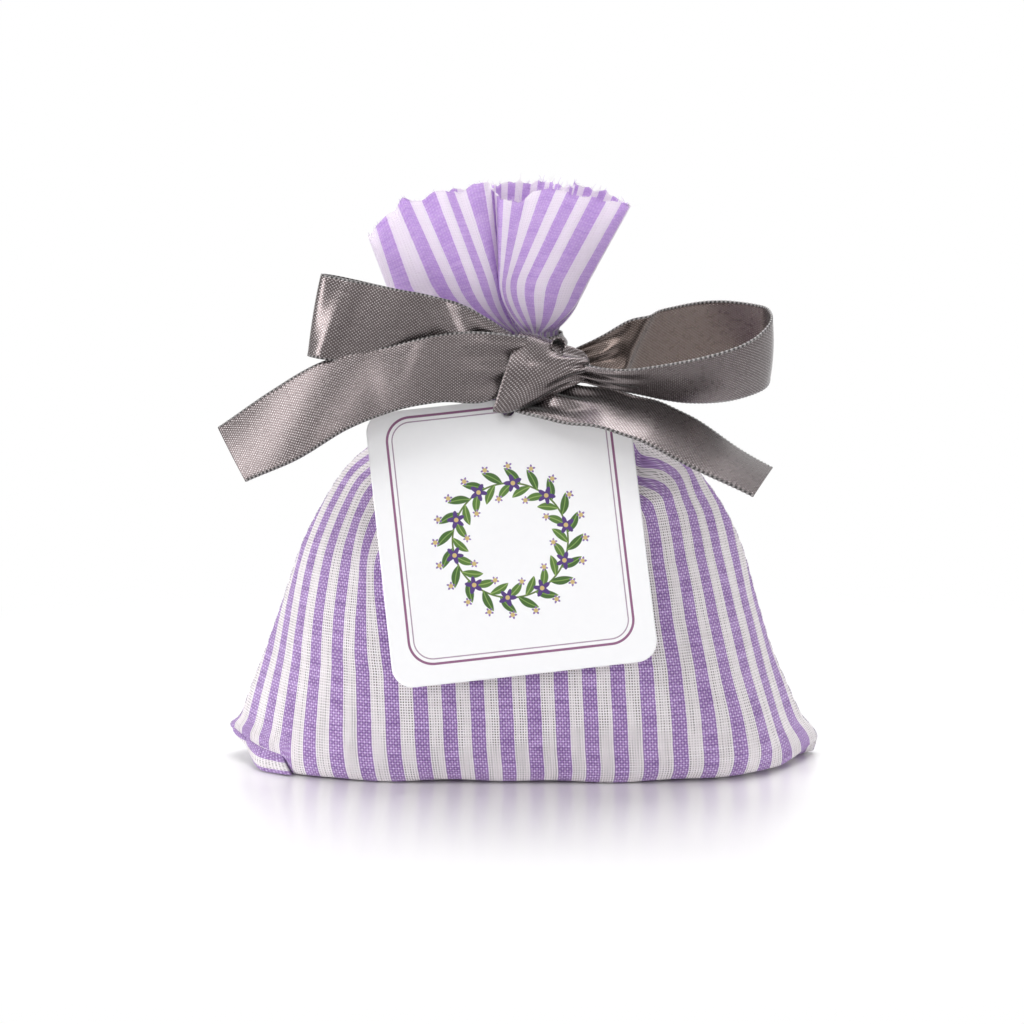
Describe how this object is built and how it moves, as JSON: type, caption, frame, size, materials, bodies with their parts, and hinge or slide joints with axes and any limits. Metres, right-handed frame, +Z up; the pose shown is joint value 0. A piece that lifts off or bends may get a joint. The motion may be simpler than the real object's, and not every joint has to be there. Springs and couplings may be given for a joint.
{
  "type": "lavender sachet",
  "caption": "Striped cotton bag of dried lavender, gathered at the neck under a ruffle, tied with a satin ribbon bow that carries a hanging card tag",
  "frame": {"origin": "middle of the flat base, on the surface that the bag stands on", "axes": "+Z up through the neck, -Y towards the front with the tag, +X to the right seen from the front"},
  "size_m": [0.1161, 0.0507, 0.112],
  "materials": {
    "striped_cotton": "plain weave cotton, lilac and white yarn-dyed stripes",
    "sewing_thread": "spun thread",
    "dried_lavender": "dried flower buds",
    "satin_ribbon": "grey satin",
    "tag_card": "smooth white card"
  },
  "bodies": {
    "sachet": {"bag_front_panel": "striped_cotton", "bag_back_panel": "striped_cotton", "seam_thread": "sewing_thread", "lavender_filling": "dried_lavender", "ribbon_neck_wrap": "satin_ribbon", "ribbon_knot": "satin_ribbon"},
    "left_loop": {"ribbon_left_loop": "satin_ribbon"},
    "right_loop": {"ribbon_right_loop": "satin_ribbon"},
    "left_tail": {"ribbon_left_tail": "satin_ribbon"},
    "right_tail": {"ribbon_right_tail": "satin_ribbon"},
    "tag_strand": {"ribbon_tag_strand": "satin_ribbon"},
    "tag": {"hang_tag": "tag_card"}
  },
  "joints": [
    {"name": "left_loop_lift", "type": "hinge", "parent": "sachet", "child": "left_loop", "pos_m": [-0.0075, -0.0122, 0.0805], "axis": [0, 1, 0], "range_deg": [0, 15], "stiffness_Nm_per_rad": 0.0015},
    {"name": "right_loop_lift", "type": "hinge", "parent": "sachet", "child": "right_loop", "pos_m": [0.0128, -0.0134, 0.0806], "axis": [0, -1, 0], "range_deg": [0, 15], "stiffness_Nm_per_rad": 0.0015},
    {"name": "left_tail_swing", "type": "hinge", "parent": "sachet", "child": "left_tail", "pos_m": [-0.0078, -0.0158, 0.0795], "axis": [0, 0, 1], "range_deg": [0, 25], "stiffness_Nm_per_rad": 0.0015},
    {"name": "right_tail_swing", "type": "hinge", "parent": "sachet", "child": "right_tail", "pos_m": [0.0027, -0.0165, 0.0695], "axis": [0, 0, -1], "range_deg": [0, 25], "stiffness_Nm_per_rad": 0.0015},
    {"name": "tag_swing", "type": "hinge", "parent": "sachet", "child": "tag_strand", "pos_m": [-0.0027, -0.0115, 0.071], "axis": [0, -0.9535, 0.3015], "range_deg": [-16, 0]},
    {"name": "tag_lift", "type": "hinge", "parent": "tag_strand", "child": "tag", "pos_m": [-0.0027, -0.0115, 0.071], "axis": [-0.9936, -0.0341, -0.1079], "range_deg": [0, 20]}
  ]
}
